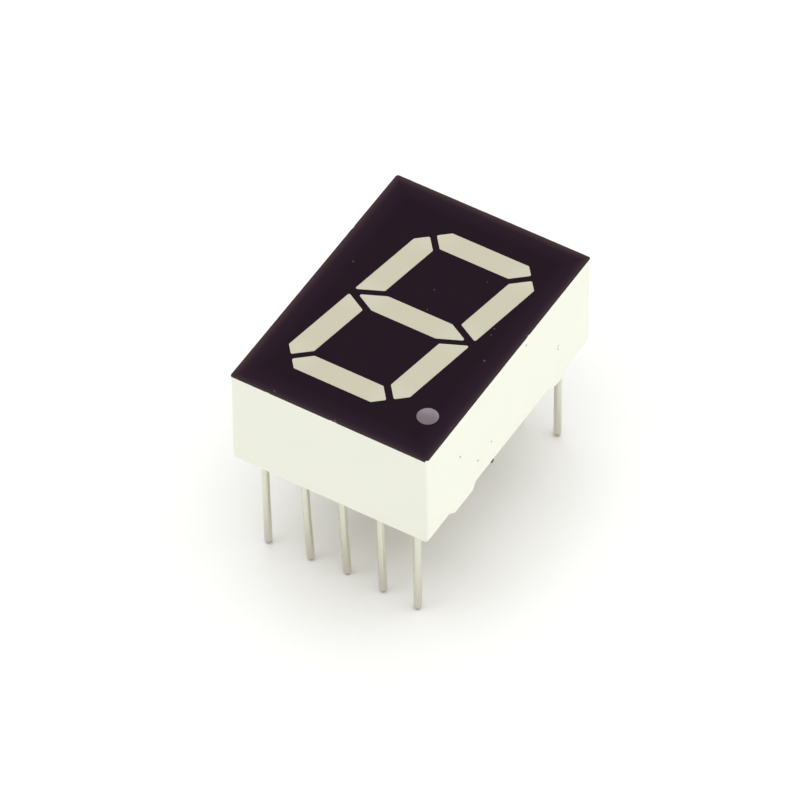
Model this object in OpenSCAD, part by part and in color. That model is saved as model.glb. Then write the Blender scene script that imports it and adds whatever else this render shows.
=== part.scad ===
// Seven segment LED display: one slanted digit with a decimal point, on ten wire pins.
// X runs across the digit, Y up the digit and Z out of its face. The origin is at the centre
// of the pin grid, on the plane of the housing's lower rim.

/* [Housing] */
// Width of the housing, across the digit
body_w = 12.7; // [11.4:0.1:16]
// Length of the housing, up the digit
body_l = 18; // [16:0.1:24]
// Height of the housing, from its lower rim to the face
body_h = 6.7; // [5.5:0.1:10]
// Thickness of the walls round the cavity
wall = 0.7; // [0.5:0.05:0.8]
// Depth of the cavity at the back, up to the foot of the wells
cavity_h = 2.4; // [2:0.1:3]
// Radius of the upright corners
corner_r = 0.2; // [0.1:0.05:0.6]
// Least wall between a well and a hollow of the moulding
core_wall = 0.6; // [0.4:0.05:0.9]
// Thickness of the front over the hollows of the moulding
core_skin = 1; // [0.6:0.1:1.5]
// Thickness of the printed black coat
coat_t = 0.05; // [0.03:0.01:0.15]

/* [Lugs under the right wall] */
// Distance of the near lug from the housing's near end
lug_start = 2.55; // [1:0.05:5]
// Length of the near lug along the rim
lug_l = 2.7; // [1.5:0.05:4]
// Distance of the far lug from the housing's far end
far_lug_end = 2.6; // [1:0.05:5]
// Length of the far lug along the rim
far_lug_l = 1.75; // [1.5:0.05:4]
// Height of the lugs below the rim
lug_h = 0.42; // [0.2:0.02:0.8]
// Run of the slope at a lug's near end
lug_near_run = 0.5; // [0.1:0.05:0.7]
// Run of the slope at a lug's far end
lug_far_run = 0.25; // [0.1:0.05:0.7]

/* [Digit] */
// Black border above and below the digit
border_y = 2.325; // [2.1:0.005:2.8]
// Black border at each side of the digit, halfway up
border_x = 2.4; // [2.1:0.05:2.8]
// Width of a segment
stroke = 1.45; // [1.1:0.05:1.6]
// Gap between neighbouring segments
segment_gap = 0.37; // [0.2:0.01:0.5]
// Slant of the digit from upright, in degrees
slant = 10; // [0:1:12]
// Size of a well's foot against its mouth
well_taper = 0.6; // [0.55:0.05:0.9]
// Diameter of the decimal point
point_d = 1.25; // [1.2:0.05:1.5]
// Size of the point's foot against its mouth
point_taper = 0.92; // [0.9:0.01:1]
// Distance of the point's centre from the housing's right side
point_inset = 1.71; // [1.5:0.01:1.9]
// Height of the point's centre above the foot of the digit
point_y = 0.67; // [0.6:0.01:1]

/* [Pins] */
// Distance of a row's outer pins from the housing's sides
side_inset = 1.27; // [1.2:0.01:1.6]
// Distance of a row from the housing's near or far end
row_inset = 1.38; // [1.3:0.01:1.6]
// Diameter of the dipped length
pin_d = 0.5; // [0.4:0.05:0.6]
// Thickness of the tin dipped onto the wire
dip_t = 0.02; // [0.01:0.01:0.04]
// Distance from the housing's rim down to the end of the dip
dip_end = 0.1; // [0:0.05:0.3]
// Length of the pins below the housing's rim
pin_drop = 7.8; // [3:0.1:12]
// Radius round the tip of a pin
tip_r = 0.16; // [0.02:0.02:0.18]
// Length of wire above the copper
pin_tail = 0.4; // [0.3:0.05:0.5]
// Clearance of a pin in the board
pin_gap = 0.05; // [0.02:0.01:0.1]
// Height of a solder joint
solder_h = 0.3; // [0.15:0.05:0.35]
// Width of the solder round a pin
solder_w = 0.14; // [0.1:0.01:0.16]
// Width of copper round a pin
pad_w = 0.19; // [0.18:0.01:0.22]
// Clearance of the pins' trough from the copper pads and pin tails
trough_gap = 0.12; // [0.05:0.01:0.15]

/* [Board and LEDs] */
// Thickness of the circuit board
board_t = 1; // [0.6:0.1:1.4]
// Clearance between the board and the walls
board_gap = 0.1; // [0.05:0.01:0.15]
// Thickness of the copper
copper_t = 0.05; // [0.03:0.01:0.08]
// Width of a track
track_w = 0.25; // [0.15:0.01:0.3]
// Width of an LED chip
led_w = 0.3; // [0.2:0.02:0.36]
// Height of an LED chip
led_h = 0.25; // [0.15:0.02:0.35]
// Distance from a chip to the foot of its bond wire
bond_span = 0.6; // [0.54:0.01:0.66]
// Diameter of a bond wire
bond_d = 0.05; // [0.04:0.01:0.08]
// Radius of the copper under an LED chip
led_pad_r = 0.26; // [0.26:0.01:0.28]
// Radius of the copper at the foot of a bond wire
bond_pad_r = 0.16; // [0.14:0.01:0.17]

/* [Back resin] */
// Depth of the resin's surface within the rim
resin_recess = 0.35; // [0.2:0.05:0.6]
// Width of the resin drawn up round a pin
collar_w = 0.3; // [0.1:0.05:0.4]
// Height of the resin drawn up round a pin
collar_h = 0.15; // [0.05:0.05:0.2]

/* [Hidden] */
LEDS = ["a", "b", "c", "d", "e", "f", "g", "point"];
PINS = 10;
$fn = 48;
over = 1; // how far a cutter runs past the face that it opens

coat_z = body_h - coat_t;
copper_z = cavity_h;
board_z = copper_z - copper_t;
cavity_w = body_w - 2 * wall;
cavity_l = body_l - 2 * wall;
board_w = cavity_w - 2 * board_gap;
board_l = cavity_l - 2 * board_gap;

row_pins = PINS / 2;
row_spacing = body_l - 2 * row_inset;
pin_pitch = (body_w - 2 * side_inset) / (row_pins - 1);
pin_r = pin_d / 2;
wire_r = pin_r - dip_t;
hole_r = wire_r + pin_gap;
pad_r = wire_r + pad_w;
trough_r = pad_r + trough_gap;
trough_h = pin_tail + trough_gap;
bond_r = bond_d / 2;

// The digit upright: half sizes of its outside (far) and of its counters (near).
far_x = body_w / 2 - border_x;
far_y = body_l / 2 - border_y;
near_x = far_x - stroke;
near_y = far_y - stroke;
// The outer corners are cut at 45 degrees, by one stroke along each side.
cut = stroke;
cut_sum = far_x + far_y - cut;
// The gaps follow mitre lines: 45 degrees at the corners, less beside the middle bar.
corner_step = segment_gap / sqrt(2);
mitre = atan2(stroke / 2, stroke);
waist_up = segment_gap / 2 / cos(mitre);
waist_in = segment_gap / 2 / sin(mitre);

function slanted(p) = [p[0] + p[1] * tan(slant), p[1]];
function mirrored(points, sx, sy) = [for (p = points) [p[0] * sx, p[1] * sy]];
// A point on the corner cut, a step to either side of the mitre line.
function on_cut(step) = let (y = (cut_sum - near_x + near_y + step) / 2) [cut_sum - y, y];

// Outlines of the upright bars: the top one, the upper right one and the middle one.
function top_bar() = [
    [-(near_x - corner_step), near_y],
    [-on_cut(corner_step)[0], on_cut(corner_step)[1]],
    [-(far_x - cut), far_y],
    [far_x - cut, far_y],
    on_cut(corner_step),
    [near_x - corner_step, near_y],
];
function side_bar() = [
    [near_x, near_y - corner_step],
    on_cut(-corner_step),
    [far_x, far_y - cut],
    [far_x, waist_up],
    [near_x, stroke / 2 + waist_up],
];
function middle_bar() = [
    [-(far_x - waist_in), 0],
    [-(near_x - waist_in), stroke / 2],
    [near_x - waist_in, stroke / 2],
    [far_x - waist_in, 0],
    [near_x - waist_in, -stroke / 2],
    [-(near_x - waist_in), -stroke / 2],
];
function bar(k) =
    k == "a" ? top_bar() :
    k == "b" ? side_bar() :
    k == "c" ? mirrored(side_bar(), 1, -1) :
    k == "d" ? mirrored(top_bar(), 1, -1) :
    k == "e" ? mirrored(side_bar(), -1, -1) :
    k == "f" ? mirrored(side_bar(), -1, 1) :
    middle_bar();

// The centre of each well's foot, and the direction from its LED to its bond wire's foot.
side_x = (near_x + far_x) / 2;
side_y = (near_y + stroke / 2) / 2;
bar_y = (near_y + far_y) / 2;
function centre(k) =
    k == "a" ? slanted([0, bar_y]) :
    k == "b" ? slanted([side_x, side_y]) :
    k == "c" ? slanted([side_x, -side_y]) :
    k == "d" ? slanted([0, -bar_y]) :
    k == "e" ? slanted([-side_x, -side_y]) :
    k == "f" ? slanted([-side_x, side_y]) :
    k == "g" ? [0, 0] :
    [body_w / 2 - point_inset, point_y - far_y];
function heading(k) =
    k == "a" ? 0 :
    k == "b" || k == "f" ? 90 - slant :
    k == "c" || k == "e" ? 270 - slant :
    k == "d" || k == "g" ? 180 :
    315;
function led_at(k) = centre(k) - bond_span / 2 * [cos(heading(k)), sin(heading(k))];
function bond_at(k) = centre(k) + bond_span / 2 * [cos(heading(k)), sin(heading(k))];

// Pins 1 to 5 run left to right below the digit, and 6 to 10 right to left above it.
function pin_at(n) = n <= row_pins
    ? [(n - 3) * pin_pitch, -row_spacing / 2]
    : [(8 - n) * pin_pitch, row_spacing / 2];

// The pin that feeds each LED; pins 3 and 8 are common to all.
function feed(k) =
    k == "a" ? 7 :
    k == "b" ? 6 :
    k == "c" ? 4 :
    k == "d" ? 2 :
    k == "e" ? 1 :
    k == "f" ? 9 :
    k == "g" ? 10 :
    5;

module rounded_plate(w, l, r) {
    square([w - 2 * r, l], center = true);
    square([w, l - 2 * r], center = true);
    for (x = [-1, 1], y = [-1, 1])
        translate([x * (w / 2 - r), y * (l / 2 - r)]) circle(r);
}

// A window's outline, in place.
module window(k) {
    if (k == "point") translate(centre(k)) circle(d = point_d);
    else polygon([for (p = bar(k)) slanted(p)]);
}

// A well's hollow: widest at the face, narrowing to its foot on the board.
module well(k) {
    h = coat_z - board_z;
    translate([centre(k)[0], centre(k)[1], coat_z])
        mirror([0, 0, 1]) {
            if (k == "point")
                cylinder(h = h, d1 = point_d, d2 = point_d * point_taper);
            else
                linear_extrude(height = h, scale = well_taper)
                    translate(-centre(k)) window(k);
        }
}

// The hollow of the moulding inside one of the digit's two counters.
module core(side) {
    x = near_x - core_wall;
    low = stroke / 2 + core_wall;
    high = near_y - core_wall;
    translate([0, 0, cavity_h - over])
        linear_extrude(coat_z - core_skin - cavity_h + over)
        polygon([for (p = [[-x, low], [x, low], [x, high], [-x, high]])
            slanted([p[0], side * p[1]])]);
}

// The trough that clears one row's solder joints.
module trough(side) {
    l = (row_pins - 1) * pin_pitch + 2 * trough_r;
    translate([-l / 2, side * row_spacing / 2 - trough_r, cavity_h - over])
        cube([l, 2 * trough_r, trough_h + over]);
}

// A lug under the right wall's rim, between two distances from the housing's middle.
module lug(near, far)
    translate([body_w / 2 - wall, 0, 0])
        rotate([90, 0, 90])
        linear_extrude(wall)
        polygon([
            [near, 0],
            [near + lug_near_run, -lug_h],
            [far - lug_far_run, -lug_h],
            [far, 0],
        ]);

module housing() color("ivory") {
    difference() {
        linear_extrude(coat_z) rounded_plate(body_w, body_l, corner_r);
        cavity_block(-over, cavity_h);
        for (k = LEDS) well(k);
        for (side = [-1, 1]) {
            core(side);
            trough(side);
        }
    }
    near_lug = -body_l / 2 + lug_start;
    far_lug = body_l / 2 - far_lug_end;
    lug(near_lug, near_lug + lug_l);
    lug(far_lug - far_lug_l, far_lug);
}

module face_coat() color([0.1, 0.08, 0.1])
    translate([0, 0, coat_z])
    linear_extrude(coat_t)
    difference() {
        rounded_plate(body_w, body_l, corner_r);
        for (k = LEDS) window(k);
    }

module segment(k) color(k == "point" ? [0.57, 0.54, 0.56] : [0.83, 0.81, 0.73])
    difference() {
        union() {
            well(k);
            translate([0, 0, coat_z]) linear_extrude(coat_t) window(k);
        }
        tracks();
        led_body(k);
        bond_loop(k);
    }

module led_body(k)
    translate([led_at(k)[0], led_at(k)[1], copper_z])
    rotate(heading(k))
    translate([-led_w / 2, -led_w / 2, 0])
    cube([led_w, led_w, led_h]);

// A half ring at the height of the chip's top, on two straight legs.
module bond_loop(k)
    translate([centre(k)[0], centre(k)[1], copper_z])
    rotate(heading(k)) {
        translate([0, 0, led_h])
            rotate([90, 0, 0])
            rotate_extrude(angle = 180)
            translate([bond_span / 2, 0]) circle(bond_r);
        for (side = [-1, 1])
            translate([side * bond_span / 2, 0, 0]) cylinder(h = led_h, r = bond_r);
    }

module led(k) color("gold") led_body(k);

// A bond wire is the loop without the leg that would stand in the chip.
module wire(k) color("goldenrod")
    difference() {
        bond_loop(k);
        led_body(k);
    }

module pin_holes(r, z0, z1)
    for (n = [1:PINS])
        translate([pin_at(n)[0], pin_at(n)[1], z0]) cylinder(h = z1 - z0, r = r);

module circuit_board() color("palegoldenrod")
    difference() {
        translate([-board_w / 2, -board_l / 2, board_z - board_t])
            cube([board_w, board_l, board_t]);
        pin_holes(hole_r, board_z - board_t - over, board_z + over);
    }

// A straight track with round ends.
module link(p, q) {
    turn = atan2(q[1] - p[1], q[0] - p[0]);
    translate(p) rotate(turn) translate([0, -track_w / 2]) square([norm(q - p), track_w]);
    for (end = [p, q]) translate(end) circle(d = track_w);
}

module route(points)
    for (i = [1:len(points) - 1]) link(points[i - 1], points[i]);

// The common net: a spine from pin 8 to pin 3, with a branch to each LED beside it.
module common_net() {
    upper = (led_at("a") + led_at("g")) / 2;
    lower = (led_at("g") + led_at("d")) / 2;
    route([pin_at(8), led_at("a"), led_at("g"), led_at("d"), pin_at(3)]);
    route([led_at("f"), upper, led_at("b")]);
    route([led_at("e"), lower, led_at("c"), [led_at("point")[0], led_at("c")[1]], led_at("point")]);
    for (k = LEDS) translate(led_at(k)) circle(led_pad_r);
    for (n = [3, 8]) translate(pin_at(n)) circle(pad_r);
}

module signal_net(k) {
    route(k == "g"
        ? [bond_at(k), [pin_at(feed(k))[0], bond_at(k)[1]], pin_at(feed(k))]
        : [bond_at(k), pin_at(feed(k))]);
    translate(bond_at(k)) circle(bond_pad_r);
    translate(pin_at(feed(k))) circle(pad_r);
}

module tracks()
    difference() {
        translate([0, 0, board_z])
            linear_extrude(copper_t)
            intersection() {
                square([board_w, board_l], center = true);
                union() {
                    common_net();
                    for (k = LEDS) signal_net(k);
                }
            }
        pin_holes(hole_r, board_z - over, copper_z + over);
    }

module copper_tracks() color("peru") tracks();

// Half the section of a pin: one wire up through the board, dipped in tin from its tip up.
module pin_section() {
    tip = -pin_drop;
    translate([0, tip + tip_r]) square([pin_r, pin_drop - dip_end - tip_r]);
    translate([0, tip]) square([pin_r - tip_r, pin_drop - dip_end]);
    intersection() {
        translate([pin_r - tip_r, tip + tip_r]) circle(tip_r);
        translate([0, tip]) square([pin_r, 2 * tip_r]);
    }
    translate([0, tip + tip_r]) square([wire_r, copper_z + pin_tail - tip - tip_r]);
}

module pin(n) color([0.75, 0.74, 0.7])
    translate([pin_at(n)[0], pin_at(n)[1], 0]) rotate_extrude() pin_section();

// A cone of solder on the pad, wetted to the pin.
module solder(n) color("silver")
    translate([pin_at(n)[0], pin_at(n)[1], copper_z])
    rotate_extrude()
    polygon([
        [wire_r, 0],
        [wire_r + solder_w, 0],
        [wire_r + solder_w / 3, solder_h / 2],
        [wire_r, solder_h],
    ]);

// A block that fills the cavity between two heights.
module cavity_block(z0, z1)
    translate([-cavity_w / 2, -cavity_l / 2, z0]) cube([cavity_w, cavity_l, z1 - z0]);

module back_resin() color([0.86, 0.84, 0.76]) {
    foot = resin_recess - collar_h;
    top = board_z - board_t;
    difference() {
        union() {
            cavity_block(resin_recess, top);
            intersection() {
                cavity_block(foot, resin_recess);
                for (n = [1:PINS])
                    translate([pin_at(n)[0], pin_at(n)[1], foot])
                        cylinder(h = collar_h, r1 = wire_r + collar_w / 4, r2 = wire_r + collar_w);
            }
        }
        pin_holes(wire_r, foot - over, top + over);
    }
}

housing();
face_coat();
circuit_board();
copper_tracks();
back_resin();
for (k = LEDS) {
    segment(k);
    led(k);
    wire(k);
}
for (n = [1:PINS]) {
    pin(n);
    solder(n);
}
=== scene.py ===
"""Seven segment LED display: rounded edges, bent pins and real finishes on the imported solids."""

import math

import bmesh
import bpy
from mathutils import Matrix, Vector, noise


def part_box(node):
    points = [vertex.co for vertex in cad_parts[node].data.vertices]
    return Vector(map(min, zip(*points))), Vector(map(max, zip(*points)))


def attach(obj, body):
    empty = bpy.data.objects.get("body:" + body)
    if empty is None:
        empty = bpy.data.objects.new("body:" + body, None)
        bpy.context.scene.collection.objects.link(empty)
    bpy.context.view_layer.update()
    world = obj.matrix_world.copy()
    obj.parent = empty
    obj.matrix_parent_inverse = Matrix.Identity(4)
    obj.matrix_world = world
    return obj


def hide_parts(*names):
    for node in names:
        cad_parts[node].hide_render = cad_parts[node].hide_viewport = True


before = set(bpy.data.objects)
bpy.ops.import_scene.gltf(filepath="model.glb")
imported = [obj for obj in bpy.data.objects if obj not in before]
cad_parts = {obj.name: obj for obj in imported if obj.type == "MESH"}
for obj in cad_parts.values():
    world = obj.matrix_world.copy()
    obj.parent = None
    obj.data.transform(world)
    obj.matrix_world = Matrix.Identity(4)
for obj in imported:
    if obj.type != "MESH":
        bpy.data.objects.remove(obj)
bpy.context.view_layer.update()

MM = 0.001


def box_mm(node):
    """A CAD node's lowest and highest corners in millimetres."""
    return [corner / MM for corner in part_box(node)]


# Lengths from here on are in millimetres.
BODY_HIGH = box_mm("housing")[1]
COAT_Z, FACE_Z = (corner.z for corner in box_mm("face_coat"))
BOARD_Z = box_mm("circuit_board")[1].z
FLOOR_Z = box_mm("pin_1")[0].z
BARS = {"segment_" + letter: "bar_" + letter for letter in "abcdefg"}
PINS = ["pin_%d" % number for number in range(1, 11)]
# Level of the poured resin, where the pins leave it.
ROOT_Z = 0.35

# Lengths that differ by less than SAME count as equal, and corners closer than WELD are joined.
SAME = 0.005
WELD = 1e-4
# How near to an outer side of the moulding an edge counts as one of that side's.
SIDE_BAND = 0.15

# How far each bar's window stands from its drawn place in x and in y, and how much smaller it is.
WINDOW_FITS = {
    "segment_a": (0.042, -0.040, 0.015), "segment_b": (0.041, -0.088, 0.004),
    "segment_c": (0.046, -0.066, 0.006), "segment_d": (0.069, -0.062, 0.030),
    "segment_e": (0.091, -0.058, 0.002), "segment_f": (0.085, -0.056, -0.001),
    "segment_g": (0.066, -0.078, 0.024),
}

# The figure 8: how far it leans per millimetre of height, how far its two columns stand from its
# middle line, and the distance between its three rows.
SLANT = math.tan(math.radians(10))
COLUMN_X, ROW_STEP = 3.225, 5.95

# Radii of the small roundings: where the bars' windows were cut, and along the moulding's edges.
WINDOW_RADIUS = 0.1
# Points in the arc at a window's corner.
ARC_POINTS = 6
RIM_ROUNDING = 0.11
LUG_ROUNDING = 0.03
TOP_ROUNDING = 0.03
MOUTH_ROUNDING = 0.04
# How far from a lug the rim's rounding starts to run out.
LUG_GAP = 0.1
# How the resin sank in a bar: steps of distance inward from its window and depth below the face.
BAR_SINK = [(0.0, 0.035), (0.0, 0.004), (0.03, 0.007), (0.07, 0.009)]
# The decimal point: how far its resin bites into the well's wall, the share of its radius at the
# foot of the well, and how its face sank, as shares of its radius and depths below the face.
POINT_BITE = 0.012
POINT_FOOT = 0.92
POINT_SINK = [(0.97, 0.014), (0.9, 0.018), (0.75, 0.024), (0.5, 0.03), (0.25, 0.033)]
POINT_SIDES = 72

# The ink's edge: its corner radius in plan, how far it stays back from the moulding's side, and
# how it thins outward, as steps of distance inward and depth below the face.
PLAN_CORNER = 0.15
INK_MARGIN = 0.003
INK_ROLL = [
    (0.0, 0.022), (0.01, 0.014), (0.035, 0.010), (0.1, 0.007), (0.22, 0.004), (0.4, 0.001), (0.55, 0.0),
]
# How many points stand along each side of the ink, from the right side round, and how many steps
# each corner takes.
INK_POINTS = (170, 120, 170, 120)
INK_CORNER_STEPS = 8
# A painted highlight that pales the ink near its edge: over which distances inward, and to which tone along
# the near and right sides and along the far and left sides, where the painted highlight is stronger.
INK_EDGE_HIGHLIGHTS = [
    (0.2, 1.6, "#231421", "#241522"), (0.1, 0.55, "#2d2029", "#3a2a2f"), (0.05, 0.25, "#392e31", "#443334"),
]
# Nicks in that edge: the place, how deep, and how wide.
INK_NICKS = [
    ((0.46, -9.0), 0.06, 0.06), ((0.20, -9.0), 0.04, 0.05),
    ((-3.9, -9.0), 0.03, 0.10), ((6.35, 2.1), 0.04, 0.08), ((-6.35, 4.2), 0.04, 0.09),
]
# The chip that a knock took out of the ink at the near right corner.
INK_CHIP = [
    (6.24, -9.1), (6.24, -8.99), (6.20, -8.93), (6.24, -8.84), (6.31, -8.80), (6.45, -8.74), (6.45, -9.1),
]

# Sideways shifts of each pin's root and tip, in x and y: handling bent them.
PIN_BENDS = [
    ((0.0, 0.0), (0.12, -0.01)), ((0.05, 0.0), (0.32, 0.13)), ((-0.03, 0.0), (0.11, 0.27)),
    ((-0.09, 0.0), (-0.01, 0.16)), ((-0.17, 0.0), (-0.22, 0.06)), ((0.02, 0.0), (-0.08, 0.20)),
    ((0.03, 0.0), (-0.05, 0.06)), ((-0.02, 0.0), (0.08, -0.04)), ((0.0, 0.0), (-0.06, -0.05)),
    ((0.04, 0.0), (0.02, 0.07)),
]
WIRE_RADIUS, TINNED_RADIUS, THICK_RADIUS = 0.23, 0.232, 0.24
# The levels where the tin ends and where its coat starts to thicken downward, and over what height.
TIN_TOP, THICK_TOP, THICK_RUN = -0.1, -4.2, 1.6
# Height of a pin's rounded tip, how many rings it has above that, and how many sides.
TIP_HEIGHT = 0.36
PIN_RINGS, PIN_SIDES = 44, 24

# How far the poured resin climbed the walls and pins, over what distance, and its slow waves.
CLIMB, CLIMB_REACH = 0.15, 0.22
WAVE_HEIGHT, WAVE_LENGTH = 0.03, 3.0
# How many cells its surface has in x and in y.
RESIN_CELLS = (110, 160)

# The view: azimuth, elevation and roll of the camera in degrees, how far away it stands, and the
# place that it looks at.
CAMERA_AZIMUTH = 31.331
CAMERA_ELEVATION = 47.724
CAMERA_ROLL = -0.4855
CAMERA_DISTANCE = 450.819
CAMERA_TARGET = Vector((-0.520, -0.460, -0.113))
LENS, SENSOR = 360, 36


def colour(code):
    """An sRGB hex colour as the linear colour that shaders take."""
    parts = [int(code[i:i + 2], 16) / 255 for i in (1, 3, 5)]
    return [c / 12.92 if c <= 0.04045 else ((c + 0.055) / 1.055) ** 2.4 for c in parts] + [1.0]


def socket_of(sockets, name):
    """The socket with that index, or the first one in use with that name."""
    if isinstance(name, int):
        return sockets[name]
    return next(s for s in sockets if s.enabled and s.name == name)


def add(tree, kind, inputs=None, **settings):
    """Adds a node. An input is a number, a vector, a hex colour, a node or a node's output."""
    made = tree.nodes.new("ShaderNode" + kind)
    for name, value in settings.items():
        setattr(made, name, value)
    for name, value in (inputs or {}).items():
        socket = socket_of(made.inputs, name)
        if isinstance(value, bpy.types.Node):
            value = next(s for s in value.outputs if s.enabled)
        if isinstance(value, bpy.types.NodeSocket):
            tree.links.new(value, socket)
        else:
            socket.default_value = colour(value) if isinstance(value, str) else value
    return made


def blank_material(name):
    """A new material, its empty node tree and the object's own coordinates in millimetres."""
    material = bpy.data.materials.new(name)
    material.use_nodes = True
    tree = material.node_tree
    tree.nodes.clear()
    metres = add(tree, "TexCoord").outputs["Object"]
    return material, tree, add(tree, "VectorMath", {0: metres, "Scale": 1 / MM}, operation="SCALE")


# ---- finishes ----


def marked(tree, place, base, tone, marks):
    """The base colour with small marks of another tone; each has a point and a radius in mm."""
    # Noise makes the marks' outlines uneven. It moves every place by 0.03 mm on average.
    uneven = add(tree, "TexNoise", {"Vector": place, "Scale": 14.0}).outputs["Color"]
    shaken = add(tree, "VectorMath", {0: uneven, 1: (0.06,) * 3, 2: place}, operation="MULTIPLY_ADD")
    for point, radius in marks:
        moved = [coordinate + 0.03 for coordinate in point]
        away = add(tree, "VectorMath", {0: shaken, 1: moved}, operation="DISTANCE")
        mask = add(
            tree, "MapRange", {0: away, 1: radius * 0.5, 2: radius, 3: 1.0, 4: 0.0},
            interpolation_type="SMOOTHSTEP",
        )
        base = add(tree, "Mix", {"Factor": mask, "A": base, "B": tone}, data_type="RGBA")
    return base


def white_moulding():
    """Glass-filled PBT as moulded: an ivory white that scatters light, with a very fine matt grain."""
    material, tree, place = blank_material("moulded_pbt")
    cloud = add(tree, "TexNoise", {"Vector": place, "Scale": 1 / 2.5})
    base = add(tree, "Mix", {"Factor": cloud, "A": "#eceedf", "B": "#f0f1e4"}, data_type="RGBA")
    # Specks that handling left on the right wall, a dark flake at its rim, a scuff on the near wall
    # and a scratch on the right one.
    side = BODY_HIGH.x
    specks = [
        ((side, -5.38, 3.71), 0.10), ((side, -3.46, 1.56), 0.10),
        ((side, -1.99, 1.74), 0.08), ((side, 1.83, 6.09), 0.08),
    ]
    base = marked(tree, place, base, "#6f6a60", specks)
    base = marked(tree, place, base, "#0f0c0a", [((side, -1.84, -0.07), 0.25)])
    scuff = [((1.20, -9.0, 2.30), 0.07), ((1.28, -9.0, 2.42), 0.06)]
    base = marked(tree, place, base, "#e5e5d6", scuff)
    scratch = [(5.45, 2.74), (5.42, 2.68), (5.38, 2.61), (5.36, 2.54), (5.38, 2.46), (5.43, 2.38)]
    base = marked(tree, place, base, "#8e8f83", [((side, y, z), 0.05) for y, z in scratch])
    # The grain is 0.03 mm on the real face and drawn at 0.12 mm, so that it shows.
    grain = add(tree, "TexNoise", {"Vector": place, "Scale": 1 / 0.12, "Detail": 3.0})
    relief = add(tree, "Bump", {"Height": grain, "Distance": 0.0015 * MM})
    shader = add(
        tree, "BsdfPrincipled", {"Base Color": base, "Roughness": 0.5, "IOR": 1.5, "Normal": relief}
    )
    add(tree, "OutputMaterial", {"Surface": shader})
    return material


def edge_highlights(tree, place, base):
    """The ink's colour with a painted highlight: paler and browner near the face's edge, most of all on two
    sides, for the light that the rounded edge reflects.
    """
    parts = add(tree, "SeparateXYZ", {0: place})
    shares, reach = [], []
    for axis, half in enumerate(BODY_HIGH.xy):
        shares.append(add(tree, "Math", {0: parts.outputs[axis], 1: half}, operation="DIVIDE"))
        size = add(tree, "Math", {0: parts.outputs[axis]}, operation="ABSOLUTE")
        reach.append(add(tree, "Math", {0: half, 1: size}, operation="SUBTRACT"))
    inward = add(tree, "Math", {0: reach[0], 1: reach[1]}, operation="MINIMUM")
    across = add(tree, "Math", {0: shares[1], 1: shares[0]}, operation="SUBTRACT")
    glare_side = add(tree, "MapRange", {0: across, 1: -0.15, 2: 0.15})
    # Each band is a painted highlight, paler towards the face's edge.
    for outer, inner, near_right, far_left in INK_EDGE_HIGHLIGHTS:
        tone = add(
            tree, "Mix", {"Factor": glare_side, "A": near_right, "B": far_left}, data_type="RGBA"
        )
        mask = add(
            tree, "MapRange", {0: inward, 1: outer, 2: inner, 3: 1.0, 4: 0.0},
            interpolation_type="SMOOTHSTEP",
        )
        base = add(tree, "Mix", {"Factor": mask, "A": base, "B": tone}, data_type="RGBA")
    return base


def black_ink():
    """Matt screen-printed epoxy ink: near black with a violet cast and thinner at its edge, where a paler,
    browner band is a painted highlight.
    """
    material, tree, place = blank_material("matt_black_ink")
    cloud = add(tree, "TexNoise", {"Vector": place, "Scale": 1 / 1.8, "Detail": 3.0})
    base = add(tree, "Mix", {"Factor": cloud, "A": "#180816", "B": "#1b0b17"}, data_type="RGBA")
    base = edge_highlights(tree, place, base)
    dust = [
        ((-4.97, 1.92), 0.06), ((0.07, 2.36), 0.05), ((2.32, 4.38), 0.05), ((0.50, 0.87), 0.05),
        ((4.46, 1.51), 0.05), ((4.54, 1.03), 0.05), ((5.20, -0.84), 0.08), ((6.20, -6.10), 0.05),
        ((-3.61, -8.71), 0.06), ((0.41, -8.88), 0.07), ((6.25, 1.99), 0.05),
    ]
    base = marked(tree, place, base, "#5f525c", [((x, y, FACE_Z), radius) for (x, y), radius in dust])
    # The filler's grain is 0.02 mm on the real ink and drawn at 0.09 mm, so that it shows.
    grain = add(tree, "TexNoise", {"Vector": place, "Scale": 1 / 0.09, "Detail": 3.0})
    relief = add(tree, "Bump", {"Height": grain, "Distance": 0.002 * MM})
    # The matt filler leaves next to no highlight, so the specular level is low.
    shader = add(
        tree, "BsdfPrincipled",
        {"Base Color": base, "Roughness": 0.5, "IOR": 1.5, "Specular IOR Level": 0.05, "Normal": relief},
    )
    add(tree, "OutputMaterial", {"Surface": shader})
    return material


def near_bar_ends(tree, place):
    """A mask that rises towards the corners of the figure 8, where the ends of the bars meet."""
    parts = add(tree, "SeparateXYZ", {0: place})
    unslanted = add(
        tree, "Math", {0: parts.outputs[1], 1: -SLANT, 2: parts.outputs[0]}, operation="MULTIPLY_ADD"
    )
    size = add(tree, "Math", {0: unslanted}, operation="ABSOLUTE")
    aside = add(tree, "Math", {0: size, 1: COLUMN_X}, operation="SUBTRACT")
    upward = add(tree, "Math", {0: parts.outputs[1], 1: ROW_STEP / 2}, operation="PINGPONG")
    offset = add(tree, "CombineXYZ", {0: aside, 1: upward})
    away = add(tree, "VectorMath", {0: offset}, operation="LENGTH")
    return add(
        tree, "MapRange", {0: away, 1: 0.4, 2: 1.8, 3: 1.0, 4: 0.0}, interpolation_type="SMOOTHSTEP"
    )


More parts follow.
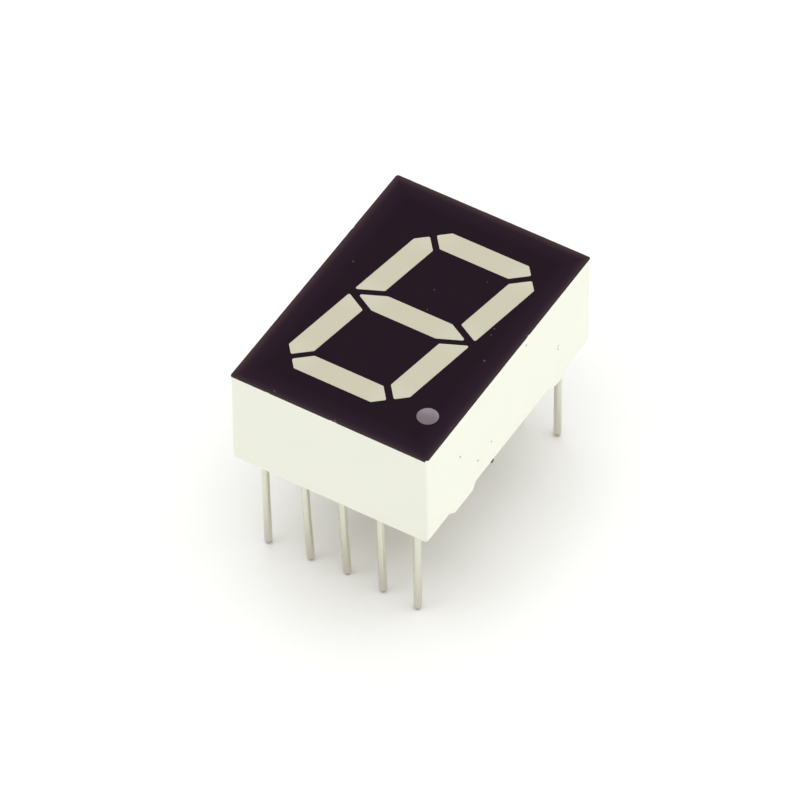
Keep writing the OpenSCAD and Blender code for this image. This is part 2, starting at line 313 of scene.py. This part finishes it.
def milky_resin():
    """Epoxy filled with white diffusant, cast in the wells: creamy, slightly glossy, with painted light
    that makes it paler at its ends.
    """
    material, tree, place = blank_material("milky_epoxy")
    cloud = add(tree, "TexNoise", {"Vector": place, "Scale": 1 / 1.6})
    base = add(tree, "Mix", {"Factor": cloud, "A": "#c3bca5", "B": "#c1bfab"}, data_type="RGBA")
    # The paler bar ends are painted light, standing in for light scattered in the resin.
    ends = near_bar_ends(tree, place)
    base = add(tree, "Mix", {"Factor": ends, "A": base, "B": "#c6c3ae"}, data_type="RGBA")
    waves = add(tree, "TexNoise", {"Vector": place, "Scale": 1 / 0.8, "Detail": 1.0})
    relief = add(tree, "Bump", {"Height": waves, "Distance": 0.004 * MM})
    shader = add(
        tree, "BsdfPrincipled", {"Base Color": base, "Roughness": 0.4, "IOR": 1.5, "Normal": relief}
    )
    add(tree, "OutputMaterial", {"Surface": shader})
    return material


def smoky_resin():
    """Epoxy with a violet-grey dye and little diffusant: hazy, so the decimal point's well shows darkly."""
    material, tree, place = blank_material("smoky_epoxy")
    cloud = add(tree, "TexNoise", {"Vector": place, "Scale": 1 / 0.5})
    base = add(tree, "Mix", {"Factor": cloud, "A": "#9f919b", "B": "#aa9ea7"}, data_type="RGBA")
    shader = add(
        tree, "BsdfPrincipled",
        {"Base Color": base, "Transmission Weight": 0.65, "Roughness": 0.15, "IOR": 1.5},
    )
    dye = add(tree, "VolumeAbsorption", {"Color": "#c8bcc4", "Density": 80.0})
    add(tree, "OutputMaterial", {"Surface": shader, "Volume": dye})
    return material


def casting_resin():
    """The same epoxy poured into the back: cream, glossy, with slow waves where it shrank."""
    material, tree, place = blank_material("cast_epoxy")
    cloud = add(tree, "TexNoise", {"Vector": place, "Scale": 1 / 2.2, "Detail": 3.0})
    base = add(tree, "Mix", {"Factor": cloud, "A": "#d0c9af", "B": "#e0dbca"}, data_type="RGBA")
    waves = add(tree, "TexNoise", {"Vector": place, "Scale": 1 / 0.6, "Detail": 1.0})
    relief = add(tree, "Bump", {"Height": waves, "Distance": 0.006 * MM})
    shader = add(
        tree, "BsdfPrincipled", {"Base Color": base, "Roughness": 0.22, "IOR": 1.52, "Normal": relief}
    )
    add(tree, "OutputMaterial", {"Surface": shader})
    return material


def laminate():
    """Glass-epoxy laminate: a pale yellow-green with the woven cloth just showing."""
    material, tree, place = blank_material("glass_epoxy_laminate")
    # The cloth has a yarn every 0.4 mm each way, which a wave texture draws at a scale of 0.8.
    yarns = [
        add(
            tree, "TexWave", {"Vector": place, "Scale": 0.8, "Distortion": 0.4},
            bands_direction=direction,
        ).outputs["Fac"]
        for direction in ("X", "Y")
    ]
    weave = add(tree, "Math", {0: yarns[0], 1: yarns[1]}, operation="MULTIPLY")
    base = add(tree, "Mix", {"Factor": weave, "A": "#a79c5a", "B": "#bdb578"}, data_type="RGBA")
    relief = add(tree, "Bump", {"Height": weave, "Distance": 0.01 * MM})
    shader = add(tree, "BsdfPrincipled", {"Base Color": base, "Roughness": 0.4, "Normal": relief})
    add(tree, "OutputMaterial", {"Surface": shader})
    return material


def copper():
    """Etched copper foil under a thin flux film: soft pink metal."""
    material, tree, place = blank_material("etched_copper")
    tarnish = add(tree, "TexNoise", {"Vector": place, "Scale": 1 / 0.5})
    base = add(tree, "Mix", {"Factor": tarnish, "A": "#e2a481", "B": "#ad6a48"}, data_type="RGBA")
    shader = add(tree, "BsdfPrincipled", {"Base Color": base, "Metallic": 1.0, "Roughness": 0.35})
    add(tree, "OutputMaterial", {"Surface": shader})
    return material


def chip():
    """A sawn gallium arsenide chip: dark grey and nearly metallic, rough on its sawn sides."""
    material, tree, place = blank_material("sawn_gallium_arsenide")
    saw = add(tree, "TexNoise", {"Vector": place, "Scale": 1 / 0.03})
    base = add(tree, "Mix", {"Factor": saw, "A": "#4a4640", "B": "#6a655c"}, data_type="RGBA")
    relief = add(tree, "Bump", {"Height": saw, "Distance": 0.002 * MM})
    shader = add(
        tree, "BsdfPrincipled", {"Base Color": base, "Metallic": 0.6, "Roughness": 0.45, "Normal": relief}
    )
    add(tree, "OutputMaterial", {"Surface": shader})
    return material


def gold_wire():
    """Drawn gold bond wire: smooth yellow metal with faint draw lines."""
    material, tree, place = blank_material("drawn_gold")
    lines = add(tree, "TexNoise", {"Vector": place, "Scale": 1 / 0.02, "Detail": 1.0})
    base = add(tree, "Mix", {"Factor": lines, "A": "#e6b856", "B": "#f3cd76"}, data_type="RGBA")
    shader = add(tree, "BsdfPrincipled", {"Base Color": base, "Metallic": 1.0, "Roughness": 0.22})
    add(tree, "OutputMaterial", {"Surface": shader})
    return material


def tinned_wire():
    """Copper-clad wire dipped in tin: dull silver, darker below, with painted shade near the floor and a
    painted shadow at the tip.
    """
    material, tree, place = blank_material("dipped_tin")
    height = add(tree, "SeparateXYZ", {0: place}).outputs["Z"]
    along = add(tree, "Mapping", {"Vector": place, "Scale": (1.0, 1.0, 0.25)})
    streaks = add(tree, "TexNoise", {"Vector": along, "Scale": 1 / 0.16})
    base = add(tree, "Mix", {"Factor": streaks, "A": "#d9dac9", "B": "#e4e4d5"}, data_type="RGBA")
    # Towards the foot the thicker tin is duller, and that darkening also paints the shade near the floor;
    # the dark tip is a painted shadow where the pin meets the floor.
    for top, bottom, tone in ((5.0, 0.0, "#d1ccc0"), (0.35, 0.05, "#9c9289")):
        mask = add(
            tree, "MapRange", {0: height, 1: FLOOR_Z + bottom, 2: FLOOR_Z + top, 3: 1.0, 4: 0.0},
            interpolation_type="SMOOTHSTEP",
        )
        base = add(tree, "Mix", {"Factor": mask, "A": base, "B": tone}, data_type="RGBA")
    rough = add(tree, "MapRange", {0: streaks, 1: 0.3, 2: 0.7, 3: 0.07, 4: 0.15})
    relief = add(tree, "Bump", {"Height": streaks, "Distance": 0.004 * MM})
    shader = add(
        tree, "BsdfPrincipled", {"Base Color": base, "Metallic": 1.0, "Roughness": rough, "Normal": relief}
    )
    add(tree, "OutputMaterial", {"Surface": shader})
    return material


def solder():
    """Tin-lead solder that froze bright: silver with a faint frost."""
    material, tree, place = blank_material("frozen_solder")
    frost = add(tree, "TexNoise", {"Vector": place, "Scale": 1 / 0.08, "Detail": 3.0})
    base = add(tree, "Mix", {"Factor": frost, "A": "#bfc0bd", "B": "#dadad6"}, data_type="RGBA")
    relief = add(tree, "Bump", {"Height": frost, "Distance": 0.003 * MM})
    shader = add(
        tree, "BsdfPrincipled", {"Base Color": base, "Metallic": 1.0, "Roughness": 0.28, "Normal": relief}
    )
    add(tree, "OutputMaterial", {"Surface": shader})
    return material


# ---- pieces ----

# Each piece is drawn in millimetres, and make_piece takes it to metres.


def bare_mesh(node):
    """A CAD node's geometry alone, welded, with its flat faces made whole again."""
    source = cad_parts[node].data
    work = bmesh.new()
    corners = [work.verts.new(v.co / MM) for v in source.vertices]
    for polygon in source.polygons:
        work.faces.new([corners[i] for i in polygon.vertices])
    bmesh.ops.remove_doubles(work, verts=work.verts, dist=WELD)
    bmesh.ops.dissolve_limit(work, angle_limit=math.radians(0.3), verts=work.verts, edges=work.edges)
    return work


def make_piece(name, work, node, material):
    """Turns work into an object that stands for a CAD node."""
    bmesh.ops.recalc_face_normals(work, faces=work.faces)
    bmesh.ops.triangulate(work, faces=[f for f in work.faces if len(f.verts) > 4])
    bmesh.ops.scale(work, vec=(MM, MM, MM), verts=work.verts)
    mesh = bpy.data.meshes.new(name)
    work.to_mesh(mesh)
    work.free()
    mesh.shade_smooth()
    mesh.set_sharp_from_angle(angle=math.radians(35))
    mesh.materials.append(material)
    piece = bpy.data.objects.new(name, mesh)
    bpy.context.scene.collection.objects.link(piece)
    even = piece.modifiers.new("even_shading", "WEIGHTED_NORMAL")
    even.keep_sharp = True
    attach(piece, "root")
    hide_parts(node)
    return piece


def ring_of(work, places):
    """New vertices at those places."""
    return [work.verts.new(place) for place in places]


def skin(work, rings):
    """Closed skin over rings of equal count, from the first ring to the last, with flat ends."""
    band(work, rings)
    work.faces.new(rings[0][::-1])
    work.faces.new(rings[-1])


def band(work, rings):
    """Open skin over rings of equal count."""
    for lower, upper in zip(rings, rings[1:]):
        for k, vertex in enumerate(lower):
            after = (k + 1) % len(lower)
            work.faces.new((vertex, lower[after], upper[after], upper[k]))


def circle(centre, radius, height, count):
    """Points round a level circle."""
    angles = [2 * math.pi * k / count for k in range(count)]
    return [
        Vector((centre.x + radius * math.cos(a), centre.y + radius * math.sin(a), height)) for a in angles
    ]


def folded(edge, degrees):
    """True for an edge where two faces meet at more than that angle."""
    return len(edge.link_faces) == 2 and edge.calc_face_angle() > math.radians(degrees)


def level_at(part, height):
    """True for an edge or a face that lies at a height."""
    return all(abs(v.co.z - height) < SAME for v in part.verts)


def upright(edge, share):
    """True for an edge whose rise is more than that share of its length."""
    a, b = (v.co for v in edge.verts)
    return abs(a.z - b.z) > share * (a - b).length


def near_outside(edge):
    """True for an edge of the moulding's outer sides and their rounded corners."""
    return all(
        min(BODY_HIGH.x - abs(v.co.x), BODY_HIGH.y - abs(v.co.y)) < SIDE_BAND for v in edge.verts
    )


def round_edges(work, chosen, width, steps):
    """Rounds the edges for which chosen says True."""
    bmesh.ops.bevel(
        work, geom=[e for e in work.edges if chosen(e)], offset=width, segments=steps,
        profile=0.5, affect="EDGES",
    )


def cut_rim_beside_lugs(work):
    """Cuts the right wall across beside each lug, so that the rim is rounded right up to the lugs."""
    def at_side(vertex):
        return BODY_HIGH.x - vertex.co.x < SAME

    def lug_corner(vertex):
        return at_side(vertex) and abs(vertex.co.z) < SAME and abs(vertex.co.y) < BODY_HIGH.y - 1

    # The corners come in pairs, a lug's near one and then its far one.
    for k, end in enumerate(sorted({v.co.y for v in work.verts if lug_corner(v)})):
        place = Vector((0.0, end + (LUG_GAP if k % 2 else -LUG_GAP), 0.0))
        faces = [f for f in work.faces if level_at(f, 0.0) or all(at_side(v) for v in f.verts)]
        lines = {e for f in faces for e in f.edges}
        corners = {v for f in faces for v in f.verts}
        bmesh.ops.bisect_plane(
            work, geom=faces + list(lines) + list(corners), dist=WELD, plane_co=place, plane_no=(0, 1, 0)
        )


def add_rim_flake(work):
    """A flake of dirt, no thicker than a hair, that stuck to the rim of the right wall."""
    outline = [
        (-2.02, -0.03), (-1.90, -0.15), (-1.76, -0.16), (-1.66, -0.04), (-1.68, 0.07), (-1.93, 0.07),
    ]
    rings = [
        ring_of(work, [(BODY_HIGH.x - depth, y, z) for y, z in outline]) for depth in (0.09, 0.005)
    ]
    skin(work, rings)


def moulding(material):
    """The white body, with the small radii that a mould leaves on its edges."""
    work = bare_mesh("housing")
    for node in BARS:
        shift_well(work, node, drawn_window(node))

    def along_rim(edge):
        return level_at(edge, 0.0) and folded(edge, 20) and near_outside(edge)

    def along_lug(edge):
        low = all(v.co.z < SAME for v in edge.verts) and not level_at(edge, 0.0)
        return low and folded(edge, 20) and near_outside(edge) and not upright(edge, 0.9)

    def along_top(edge):
        return level_at(edge, COAT_Z) and folded(edge, 20) and near_outside(edge)

    def along_mouth(edge):
        return level_at(edge, 0.0) and folded(edge, 40) and not near_outside(edge)

    cut_rim_beside_lugs(work)
    round_edges(work, along_rim, RIM_ROUNDING, 3)
    round_edges(work, along_lug, LUG_ROUNDING, 2)
    round_edges(work, along_top, TOP_ROUNDING, 2)
    round_edges(work, along_mouth, MOUTH_ROUNDING, 2)
    bmesh.ops.dissolve_degenerate(work, dist=WELD, edges=work.edges)
    add_rim_flake(work)
    return make_piece("moulding", work, "housing", material)


def face_of(work, height):
    """The largest face that lies at a height."""
    return max((f for f in work.faces if level_at(f, height)), key=lambda f: f.calc_area())


def window_outline(node, drawn, inset, height):
    """A bar's window as it was cut, drawn in by inset, with the cutter's radius at its corners."""
    *shift, less = WINDOW_FITS[node]
    places = []
    sides = [(b - a).normalized() for a, b in zip(drawn, drawn[1:] + drawn[:1])]
    for corner, before, after in zip(drawn, sides[-1:] + sides[:-1], sides):
        start = math.atan2(-before.x, before.y)
        turn = (math.atan2(-after.x, after.y) - start) % (2 * math.pi)
        away = (WINDOW_RADIUS + less) / math.cos(turn / 2)
        centre = corner + Vector(shift) + (after - before).normalized() * away
        for step in range(ARC_POINTS):
            angle = start + turn * step / (ARC_POINTS - 1)
            reach = WINDOW_RADIUS - inset
            places.append((centre.x + reach * math.cos(angle), centre.y + reach * math.sin(angle), height))
    return places


def bar_corners(work):
    """The corners of a bar's face in order, as vertices."""
    top = face_of(work, FACE_Z)
    top.normal_update()
    return list(top.verts) if top.normal.z > 0 else list(top.verts)[::-1]


def drawn_window(node):
    """The corners of a bar's face in order, as the CAD solid draws them."""
    work = bare_mesh(node)
    drawn = [v.co.xy.copy() for v in bar_corners(work)]
    work.free()
    return drawn


def shift_well(work, node, drawn):
    """Moves the upper corners of a bar or of its well to where its window was cut."""
    shift = Vector((*WINDOW_FITS[node][:2], 0.0))
    for vertex in work.verts:
        at_corner = any((vertex.co.xy - corner).length < SAME for corner in drawn)
        if at_corner and abs(vertex.co.z - COAT_Z) < SAME:
            vertex.co += shift


def resin_bar(node, name, material):
    """One milky bar; its face sank a little as the resin cured."""
    work = bare_mesh(node)
    upper = bar_corners(work)
    drawn = drawn_window(node)
    lower = [min((e.other_vert(v) for e in v.link_edges), key=lambda end: end.co.z) for v in upper]
    shift_well(work, node, drawn)
    above = [f for f in work.faces if all(v.co.z > COAT_Z - SAME for v in f.verts)]
    bmesh.ops.delete(work, geom=above, context="FACES")
    rings = [
        ring_of(work, window_outline(node, drawn, inset, FACE_Z - drop)) for inset, drop in BAR_SINK
    ]
    # Each lower corner of the bar spreads to the arc above it.
    for k, corner in enumerate(lower):
        arc = rings[0][ARC_POINTS * k:ARC_POINTS * (k + 1)]
        for a, b in zip(arc, arc[1:]):
            work.faces.new((corner, b, a))
        following = (k + 1) % len(lower)
        work.faces.new((corner, lower[following], rings[0][ARC_POINTS * following], arc[-1]))
    band(work, rings)
    work.faces.new(rings[-1])
    return make_piece(name, work, node, material)


def plan_outline(inset):
    """Points round the moulding's outline in plan, drawn in by inset."""
    half_x, half_y = BODY_HIGH.x - inset, BODY_HIGH.y - inset
    corner = max(PLAN_CORNER - inset, 0.04)
    arcs = []
    for quarter, (side_x, side_y) in enumerate(((1, -1), (1, 1), (-1, 1), (-1, -1))):
        angles = [
            math.radians(90 * quarter - 90 + step * 90 / INK_CORNER_STEPS)
            for step in range(INK_CORNER_STEPS + 1)
        ]
        centre = Vector((side_x * (half_x - corner), side_y * (half_y - corner)))
        arcs.append([centre + Vector((math.cos(a), math.sin(a))) * corner for a in angles])
    points = []
    for arc, following, count in zip(arcs, arcs[1:] + arcs[:1], INK_POINTS):
        points += arc
        points += [arc[-1].lerp(following[0], k / count) for k in range(1, count)]
    return points


def ink_setback(point):
    """How far the ink stays back from the moulding's edge at a point of the outline, with its nicks."""
    # Slow and quick waves, 0.35 and 0.12 mm long, make the edge uneven.
    rough = noise.noise(Vector((point.x / 0.35, point.y / 0.35, 4.0)))
    fine = noise.noise(Vector((point.x / 0.12, point.y / 0.12, 9.0)))
    setback = INK_MARGIN + 0.008 * rough + 0.004 * fine
    for place, depth, width in INK_NICKS:
        setback += depth * math.exp(-((point - Vector(place)).length / width) ** 2)
    return max(setback, 0.002)


def ink_blank():
    """The ink as it would be without windows: a thin sheet, thinner towards its uneven edge."""
    work = bmesh.new()
    setbacks = [ink_setback(point) for point in plan_outline(0.0)]
    rings = []
    for inset, drop in [(0.0, FACE_Z - COAT_Z)] + INK_ROLL:
        fade = max(0.0, 1 - inset / INK_ROLL[-1][0])
        ring = []
        for point, setback in zip(plan_outline(inset), setbacks):
            inner = point - point.normalized() * setback * fade
            ring.append((inner.x, inner.y, FACE_Z - drop))
        rings.append(ring_of(work, ring))
    skin(work, rings)
    return work


def window_cutter():
    """Every bar's outline, the point's and the chip's, as blocks that stand through the ink."""
    work = bmesh.new()
    levels = (COAT_Z - 0.2, FACE_Z + 0.2)
    for node in BARS:
        drawn = drawn_window(node)
        skin(work, [ring_of(work, window_outline(node, drawn, 0.0, level)) for level in levels])
    centre, radius = point_place()
    skin(work, [ring_of(work, circle(centre, radius, level, POINT_SIDES)) for level in levels])
    skin(work, [ring_of(work, [(x, y, level) for x, y in INK_CHIP]) for level in levels])
    bmesh.ops.recalc_face_normals(work, faces=work.faces)
    return work


def point_place():
    """The decimal point's centre and radius."""
    low, high = box_mm("segment_point")
    return (low + high) / 2, (high.x - low.x) / 2


def cut_out(blank, cutter):
    """What is left of one mesh when another is cut from it."""
    made = []
    for work in (blank, cutter):
        mesh = bpy.data.meshes.new("blank")
        work.to_mesh(mesh)
        work.free()
        made.append(bpy.data.objects.new("blank", mesh))
        bpy.context.scene.collection.objects.link(made[-1])
    cut = made[0].modifiers.new("windows", "BOOLEAN")
    cut.object = made[1]
    cut.solver = "EXACT"
    depsgraph = bpy.context.evaluated_depsgraph_get()
    left = bmesh.new()
    left.from_mesh(bpy.data.meshes.new_from_object(made[0].evaluated_get(depsgraph)))
    for block in made:
        bpy.data.objects.remove(block)
    return left


def ink_coat(material):
    """The black ink on the face, printed round the bars and the point."""
    work = cut_out(ink_blank(), window_cutter())
    return make_piece("ink_coat", work, "face_coat", material)


def point_lens(material):
    """The decimal point: clear resin that fills its tapered well and bites a hair into its wall."""
    centre, radius = point_place()
    work = bmesh.new()
    rings = [
        circle(centre, radius * POINT_FOOT + POINT_BITE, BOARD_Z - POINT_BITE, POINT_SIDES),
        circle(centre, radius + POINT_BITE, FACE_Z - 0.012, POINT_SIDES),
    ]
    for share, drop in POINT_SINK:
        rings.append(circle(centre, radius * share, FACE_Z - drop, POINT_SIDES))
    skin(work, [ring_of(work, ring) for ring in rings])
    return make_piece("point_lens", work, "segment_point", material)


def pin_shift(bend, height):
    """Sideways shift of a pin at a height: it bends below the resin and is straight above."""
    root, tip = (Vector(shift) for shift in bend)
    if height > ROOT_Z:
        return root * max(0.0, 1 - (height - ROOT_Z))
    down = (ROOT_Z - height) / (ROOT_Z - FLOOR_Z)
    return root.lerp(tip, down ** 1.4)


def pin_radius(height, number):
    """Radius of a tinned pin: bare wire inside the body, a thin coat of tin, and a thicker foot."""
    if height > TIN_TOP:
        return WIRE_RADIUS
    share = min(max((THICK_TOP - height) / THICK_RUN, 0.0), 1.0)
    share = share * share * (3 - 2 * share)
    lumps = 0.004 * noise.noise(Vector((number * 3.7, height / 0.7, 0.0)))
    return min(TINNED_RADIUS + (THICK_RADIUS - TINNED_RADIUS) * share + lumps, THICK_RADIUS)


def bent_pin(number, node, material):
    """A wire pin dipped in tin, a little bent, with a rounded tip."""
    low, high = box_mm(node)
    axis = (low + high) / 2
    levels = []
    for angle in (0, 18, 36, 54, 72, 90):
        rise, share = math.cos(math.radians(angle)), math.sin(math.radians(angle))
        levels.append((low.z + TIP_HEIGHT * (1 - rise), 0.2 + 0.8 * share))
    start = low.z + TIP_HEIGHT
    levels += [(start + (high.z - start) * k / PIN_RINGS, 1.0) for k in range(1, PIN_RINGS + 1)]
    work = bmesh.new()
    rings = []
    for height, share in levels:
        centre = axis.xy + pin_shift(PIN_BENDS[number], height)
        radius = pin_radius(height, number) * share
        rings.append(ring_of(work, circle(centre, radius, height, PIN_SIDES)))
    skin(work, rings)
    return make_piece("bent_" + node, work, node, material)


def resin_surface():
    """A function that gives the poured resin's height: it climbed the walls and the pins."""
    low, high = box_mm("back_resin")
    roots = []
    for number, node in enumerate(PINS):
        pin_low, pin_high = box_mm(node)
        roots.append(((pin_low + pin_high) / 2).xy + pin_shift(PIN_BENDS[number], ROOT_Z))

    def surface(x, y):
        wall = min(x - low.x, high.x - x, y - low.y, high.y - y)
        pin = min((Vector((x, y)) - root).length for root in roots) - WIRE_RADIUS
        climb = math.exp(-wall / CLIMB_REACH) + math.exp(-max(pin, 0.0) / CLIMB_REACH)
        wave = noise.noise(Vector((x / WAVE_LENGTH, y / WAVE_LENGTH, 2.0)))
        return max(ROOT_Z - CLIMB * climb + WAVE_HEIGHT * wave, low.z)

    return surface


def poured_resin(material):
    """The resin that fills the back, slightly wavy where it shrank."""
    low, high = box_mm("back_resin")
    surface = resin_surface()
    columns, rows = RESIN_CELLS
    work = bmesh.new()
    grid = []
    for row in range(rows + 1):
        y = low.y + (high.y - low.y) * row / rows
        xs = [low.x + (high.x - low.x) * column / columns for column in range(columns + 1)]
        grid.append([work.verts.new((x, y, surface(x, y))) for x in xs])
    for lower, upper in zip(grid, grid[1:]):
        for k in range(columns):
            work.faces.new((lower[k], upper[k], upper[k + 1], lower[k + 1]))
    right_side = [row[-1] for row in grid[1:-1]]
    left_side = [row[0] for row in grid[-2:0:-1]]
    border = grid[0] + right_side + grid[-1][::-1] + left_side
    top = ring_of(work, [(v.co.x, v.co.y, high.z) for v in border])
    band(work, [border, top])
    work.faces.new(top)
    return make_piece("poured_resin", work, "back_resin", material)


def build():
    """Every piece of the display, and the finishes of the solids that stay as they are."""
    milk, tin = milky_resin(), tinned_wire()
    moulding(white_moulding())
    ink_coat(black_ink())
    for node, name in BARS.items():
        resin_bar(node, name, milk)
    point_lens(smoky_resin())
    for number, node in enumerate(PINS):
        bent_pin(number, node, tin)
    poured_resin(casting_resin())
    kept = {
        "circuit_board": laminate(), "copper_tracks": copper(), "led": chip(), "wire": gold_wire(),
        "solder": solder(),
    }
    for name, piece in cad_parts.items():
        family = name if name in kept else name.split("_")[0]
        if family in kept:
            piece.data.materials.clear()
            piece.data.materials.append(kept[family])


# ---- studio ----

# Sizes and distances of the floor and the lamps are in metres, and the lamps' power in watts.


def seen_rays(tree):
    """1 for rays that look straight, by reflection or through resin, and 0 for light that scatters."""
    rays = add(tree, "LightPath").outputs
    mirrored = add(
        tree, "Math", {0: rays["Is Glossy Ray"], 1: rays["Is Transmission Ray"]}, operation="MAXIMUM"
    )
    return add(tree, "Math", {0: rays["Is Camera Ray"], 1: mirrored}, operation="MAXIMUM")


def studio_floor():
    """A plain pale floor under the pins: white as seen, a little darker for the light that it scatters."""
    bpy.ops.mesh.primitive_plane_add(size=4.0, location=(0, 0, FLOOR_Z * MM))
    floor = bpy.context.object
    floor.name = "floor"
    material = bpy.data.materials.new("white_sweep")
    material.use_nodes = True
    tree = material.node_tree
    tree.nodes.clear()
    shade = add(
        tree, "Mix", {"Factor": seen_rays(tree), "A": "#e7e7e7", "B": "#ffffff"}, data_type="RGBA"
    )
    paint = add(tree, "BsdfDiffuse", {"Color": shade})
    add(tree, "OutputMaterial", {"Surface": paint})
    floor.data.materials.append(material)


def softbox(name, azimuth, elevation, distance, width, height, power):
    """A soft lamp that faces the display from that azimuth, elevation and distance."""
    turn, rise = math.radians(azimuth), math.radians(elevation)
    place = Vector((
        math.sin(turn) * math.cos(rise),
        -math.cos(turn) * math.cos(rise),
        math.sin(rise),
    )) * distance
    light = bpy.data.lights.new(name, "AREA")
    light.shape = "RECTANGLE"
    light.size = width
    light.size_y = height
    light.energy = power
    lamp = bpy.data.objects.new(name, light)
    bpy.context.scene.collection.objects.link(lamp)
    lamp.location = place
    lamp.rotation_euler = (-place).to_track_quat("-Z", "Y").to_euler()


def studio_lights():
    """A white room, a large softbox overhead, and two low ones at the right and the near left."""
    world = bpy.data.worlds.new("studio")
    bpy.context.scene.world = world
    world.use_nodes = True
    tree = world.node_tree
    tree.nodes.clear()
    seen = seen_rays(tree)
    strength = add(tree, "MapRange", {0: seen, 3: 0.30, 4: 1.0})
    tint = add(tree, "Mix", {"Factor": seen, "A": "#fffffb", "B": "#ffffff"}, data_type="RGBA")
    sky = add(tree, "Background", {"Color": tint, "Strength": strength})
    add(tree, "OutputWorld", {"Surface": sky})
    softbox("overhead_softbox", azimuth=0, elevation=90, distance=0.5, width=0.7, height=0.7, power=2.72)
    softbox("right_softbox", azimuth=97, elevation=8, distance=0.5, width=0.5, height=0.11, power=1.18)
    softbox("front_softbox", azimuth=328, elevation=8, distance=0.5, width=0.5, height=0.11, power=0.93)


def studio_camera():
    """The camera, a little rolled, that looks at the display from above its near right corner."""
    azimuth, elevation, roll = (
        math.radians(angle) for angle in (CAMERA_AZIMUTH, CAMERA_ELEVATION, CAMERA_ROLL)
    )
    back = Vector((
        math.sin(azimuth) * math.cos(elevation),
        -math.cos(azimuth) * math.cos(elevation),
        math.sin(elevation),
    ))
    level = Vector((math.cos(azimuth), math.sin(azimuth), 0))
    up = back.cross(level)
    right = level * math.cos(roll) + up * math.sin(roll)
    up = back.cross(right)
    camera = bpy.data.objects.new("camera", bpy.data.cameras.new("camera"))
    bpy.context.scene.collection.objects.link(camera)
    place = Matrix((right, up, back)).transposed().to_4x4()
    place.translation = (CAMERA_TARGET + back * CAMERA_DISTANCE) * MM
    camera.matrix_world = place
    camera.data.lens = LENS
    camera.data.sensor_width = SENSOR
    camera.data.clip_start = 0.01
    bpy.context.scene.camera = camera


build()
studio_floor()
studio_lights()
studio_camera()
bpy.context.scene.view_settings.view_transform = "Standard"
